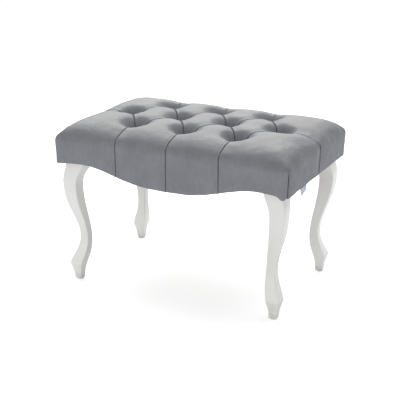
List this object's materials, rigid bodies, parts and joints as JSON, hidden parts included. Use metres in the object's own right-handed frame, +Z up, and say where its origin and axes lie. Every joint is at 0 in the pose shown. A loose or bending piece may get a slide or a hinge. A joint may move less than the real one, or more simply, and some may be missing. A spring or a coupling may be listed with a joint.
{
  "type": "bedroom bench",
  "caption": "Rectangular bench with a deep diamond-tufted velvet seat, a serpentine padded apron and curved square-section cabriole legs in white lacquer.",
  "frame": {"origin": "on the floor under the middle of the seat, which is the bottom centre of the whole bench's box", "axes": "+Z up, front faces -Y, +X to the right along the bench's length"},
  "size_m": [0.6, 0.4, 0.4079],
  "materials": {
    "white_lacquer": "satin white lacquer over beech",
    "glide_nylon": "matt white nylon",
    "bright_steel": "bright zinc",
    "screw_steel": "yellow zinc",
    "plywood": "bare birch plywood",
    "pine": "bare planed pine",
    "foam": "open-cell polyurethane foam",
    "wadding": "bonded polyester wadding",
    "velvet": "grey short-pile velvet",
    "twine": "waxed twine",
    "clear_plastic": "plain plastic",
    "dust_cloth": "black spun-bonded cloth",
    "label_ribbon": "plain woven ribbon"
  },
  "bodies": {
    "root": {"leg_front_left": "white_lacquer", "leg_front_right": "white_lacquer", "leg_back_left": "white_lacquer", "leg_back_right": "white_lacquer", "glide_front_left": "glide_nylon", "glide_front_right": "glide_nylon", "glide_back_left": "glide_nylon", "glide_back_right": "glide_nylon", "glide_nails": "bright_steel", "front_rail": "plywood", "back_rail": "plywood", "left_rail": "plywood", "right_rail": "plywood", "plate_front_left": "plywood", "plate_front_right": "plywood", "plate_back_left": "plywood", "plate_back_right": "plywood", "front_cleat": "pine", "back_cleat": "pine", "left_cleat": "pine", "right_cleat": "pine", "seat_board": "plywood", "hanger_bolts": "bright_steel", "tee_nuts": "bright_steel", "board_screws": "screw_steel", "plate_screws": "screw_steel", "cleat_screws": "screw_steel", "corner_screws": "screw_steel", "foam_pad": "foam", "wadding": "wadding", "seat_cover": "velvet", "tuft_buttons": "velvet", "tuft_twines": "twine", "twine_discs": "clear_plastic", "cover_staples": "bright_steel", "dust_cover": "dust_cloth", "dust_staples": "bright_steel", "side_label": "label_ribbon"}
  },
  "joints": []
}
